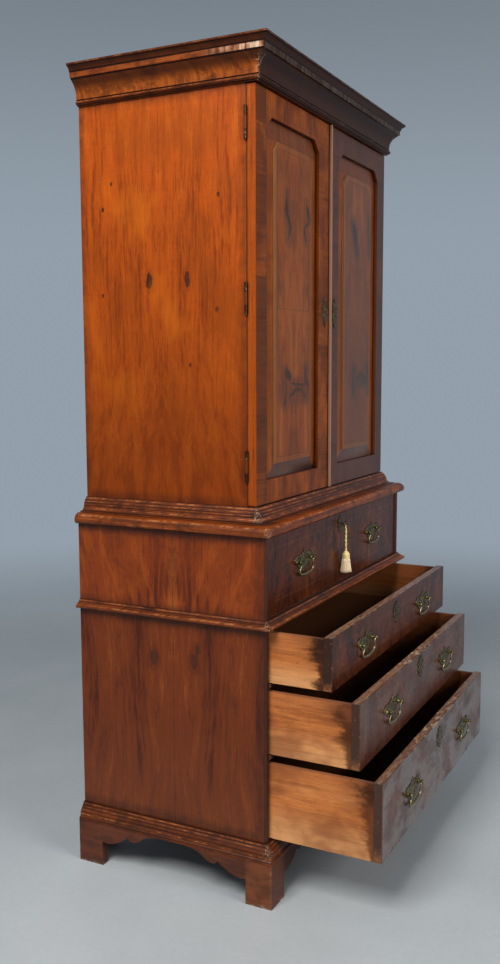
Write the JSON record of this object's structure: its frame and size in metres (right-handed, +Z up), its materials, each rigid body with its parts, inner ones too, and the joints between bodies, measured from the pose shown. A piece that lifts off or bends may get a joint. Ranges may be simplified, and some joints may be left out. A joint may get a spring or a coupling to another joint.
{
  "type": "secretaire press",
  "caption": "Walnut secretaire press: a two-door cabinet on a chest with a fall-front writing drawer and long drawers for linen and papers.",
  "frame": {"origin": "under the middle of the whole press as it stands with its three long drawers pulled out, on the floor", "axes": "+Z up, -Y towards the person in front of it, +X to that person's right"},
  "size_m": [1.0308, 0.846, 2.05],
  "materials": {
    "cabinet_side_walnut": "waxed figured walnut, satin",
    "chest_walnut": "dark waxed walnut, satin",
    "front_walnut": "polished walnut veneer, glossy",
    "moulding_walnut": "cross-grained moulding, worn edges",
    "drawer_lining": "dry pale lining wood",
    "inner_boards": "plain brown boards, matt",
    "aged_brass": "aged, dull gold with dark recesses",
    "key_steel": "dull steel",
    "tassel_cord": "cream silk threads"
  },
  "bodies": {
    "carcass": {"cabinet_left_side": "cabinet_side_walnut", "cabinet_right_side": "cabinet_side_walnut", "cabinet_top_board": "inner_boards", "cabinet_bottom_board": "inner_boards", "cabinet_back": "inner_boards", "cabinet_shelves": "inner_boards", "cornice": "moulding_walnut", "waist_moulding": "moulding_walnut", "left_hinge_lower": "aged_brass", "left_hinge_middle": "aged_brass", "left_hinge_upper": "aged_brass", "right_hinge_lower": "aged_brass", "right_hinge_middle": "aged_brass", "right_hinge_upper": "aged_brass", "secretaire_top_board": "moulding_walnut", "lower_left_side": "chest_walnut", "lower_right_side": "chest_walnut", "lower_back": "inner_boards", "chest_top_board": "inner_boards", "upper_drawer_divider": "inner_boards", "lower_drawer_divider": "inner_boards", "chest_bottom_board": "inner_boards", "mid_moulding": "moulding_walnut", "base_moulding": "moulding_walnut", "foot_front_left": "chest_walnut", "foot_front_right": "chest_walnut", "foot_rear_left": "chest_walnut", "foot_rear_right": "chest_walnut"},
    "left_door": {"left_door_frame": "front_walnut", "left_door_panel": "front_walnut"},
    "right_door": {"right_door_frame": "front_walnut", "right_door_panel": "front_walnut"},
    "secretaire_drawer": {"secretaire_box": "drawer_lining", "secretaire_pigeonholes": "front_walnut"},
    "secretaire_fall": {"fall_board": "front_walnut", "fall_left_handle_plate": "aged_brass", "fall_right_handle_plate": "aged_brass"},
    "fall_left_handle": {"fall_left_bail": "aged_brass"},
    "fall_right_handle": {"fall_right_bail": "aged_brass"},
    "lock_key": {"key": "key_steel"},
    "key_tassel": {"tassel_cord": "tassel_cord", "tassel": "tassel_cord"},
    "drawer_1": {"drawer_1_front": "front_walnut", "drawer_1_box": "drawer_lining", "drawer_1_left_handle_plate": "aged_brass", "drawer_1_right_handle_plate": "aged_brass"},
    "drawer_1_left_handle": {"drawer_1_left_bail": "aged_brass"},
    "drawer_1_right_handle": {"drawer_1_right_bail": "aged_brass"},
    "drawer_2": {"drawer_2_front": "front_walnut", "drawer_2_box": "drawer_lining", "drawer_2_left_handle_plate": "aged_brass", "drawer_2_right_handle_plate": "aged_brass"},
    "drawer_2_left_handle": {"drawer_2_left_bail": "aged_brass"},
    "drawer_2_right_handle": {"drawer_2_right_bail": "aged_brass"},
    "drawer_3": {"drawer_3_front": "front_walnut", "drawer_3_box": "drawer_lining", "drawer_3_left_handle_plate": "aged_brass", "drawer_3_right_handle_plate": "aged_brass"},
    "drawer_3_left_handle": {"drawer_3_left_bail": "aged_brass"},
    "drawer_3_right_handle": {"drawer_3_right_bail": "aged_brass"}
  },
  "joints": [
    {"name": "left_door_hinge", "type": "hinge", "parent": "carcass", "child": "left_door", "pos_m": [-0.4516, -0.0484, 1.464], "axis": [0, 0, -1], "range_deg": [0, 175]},
    {"name": "right_door_hinge", "type": "hinge", "parent": "carcass", "child": "right_door", "pos_m": [0.4516, -0.0484, 1.464], "axis": [0, 0, 1], "range_deg": [0, 175]},
    {"name": "secretaire_slide", "type": "slide", "parent": "carcass", "child": "secretaire_drawer", "axis": [0, -1, 0], "range_m": [0, 0.3]},
    {"name": "fall_hinge", "type": "hinge", "parent": "secretaire_drawer", "child": "secretaire_fall", "pos_m": [0, -0.113, 0.711], "axis": [1, 0, 0], "range_deg": [0, 90]},
    {"name": "fall_left_handle_swing", "type": "hinge", "parent": "secretaire_fall", "child": "fall_left_handle", "pos_m": [-0.255, -0.1245, 0.815], "axis": [-1, 0, 0], "range_deg": [0, 80]},
    {"name": "fall_right_handle_swing", "type": "hinge", "parent": "secretaire_fall", "child": "fall_right_handle", "pos_m": [0.255, -0.1245, 0.815], "axis": [-1, 0, 0], "range_deg": [0, 80]},
    {"name": "key_turn", "type": "hinge", "parent": "secretaire_fall", "child": "lock_key", "pos_m": [0, -0.13, 0.872], "axis": [0, 1, 0], "range_deg": [-90, 90]},
    {"name": "tassel_swing", "type": "hinge", "parent": "secretaire_fall", "child": "key_tassel", "pos_m": [0, -0.13, 0.8595], "axis": [-1, 0, 0], "range_deg": [0, 45]},
    {"name": "drawer_1_slide", "type": "slide", "parent": "carcass", "child": "drawer_1", "axis": [0, -1, 0], "range_m": [-0.166, 0.17]},
    {"name": "drawer_1_left_handle_swing", "type": "hinge", "parent": "drawer_1", "child": "drawer_1_left_handle", "pos_m": [-0.24, -0.2905, 0.617], "axis": [-1, 0, 0], "range_deg": [0, 80]},
    {"name": "drawer_1_right_handle_swing", "type": "hinge", "parent": "drawer_1", "child": "drawer_1_right_handle", "pos_m": [0.24, -0.2905, 0.617], "axis": [-1, 0, 0], "range_deg": [0, 80]},
    {"name": "drawer_2_slide", "type": "slide", "parent": "carcass", "child": "drawer_2", "axis": [0, -1, 0], "range_m": [-0.237, 0.183]},
    {"name": "drawer_2_left_handle_swing", "type": "hinge", "parent": "drawer_2", "child": "drawer_2_left_handle", "pos_m": [-0.24, -0.3615, 0.457], "axis": [-1, 0, 0], "range_deg": [0, 80]},
    {"name": "drawer_2_right_handle_swing", "type": "hinge", "parent": "drawer_2", "child": "drawer_2_right_handle", "pos_m": [0.24, -0.3615, 0.457], "axis": [-1, 0, 0], "range_deg": [0, 80]},
    {"name": "drawer_3_slide", "type": "slide", "parent": "carcass", "child": "drawer_3", "axis": [0, -1, 0], "range_m": [-0.294, 0.126]},
    {"name": "drawer_3_left_handle_swing", "type": "hinge", "parent": "drawer_3", "child": "drawer_3_left_handle", "pos_m": [-0.24, -0.4185, 0.254], "axis": [-1, 0, 0], "range_deg": [0, 80]},
    {"name": "drawer_3_right_handle_swing", "type": "hinge", "parent": "drawer_3", "child": "drawer_3_right_handle", "pos_m": [0.24, -0.4185, 0.254], "axis": [-1, 0, 0], "range_deg": [0, 80]}
  ]
}
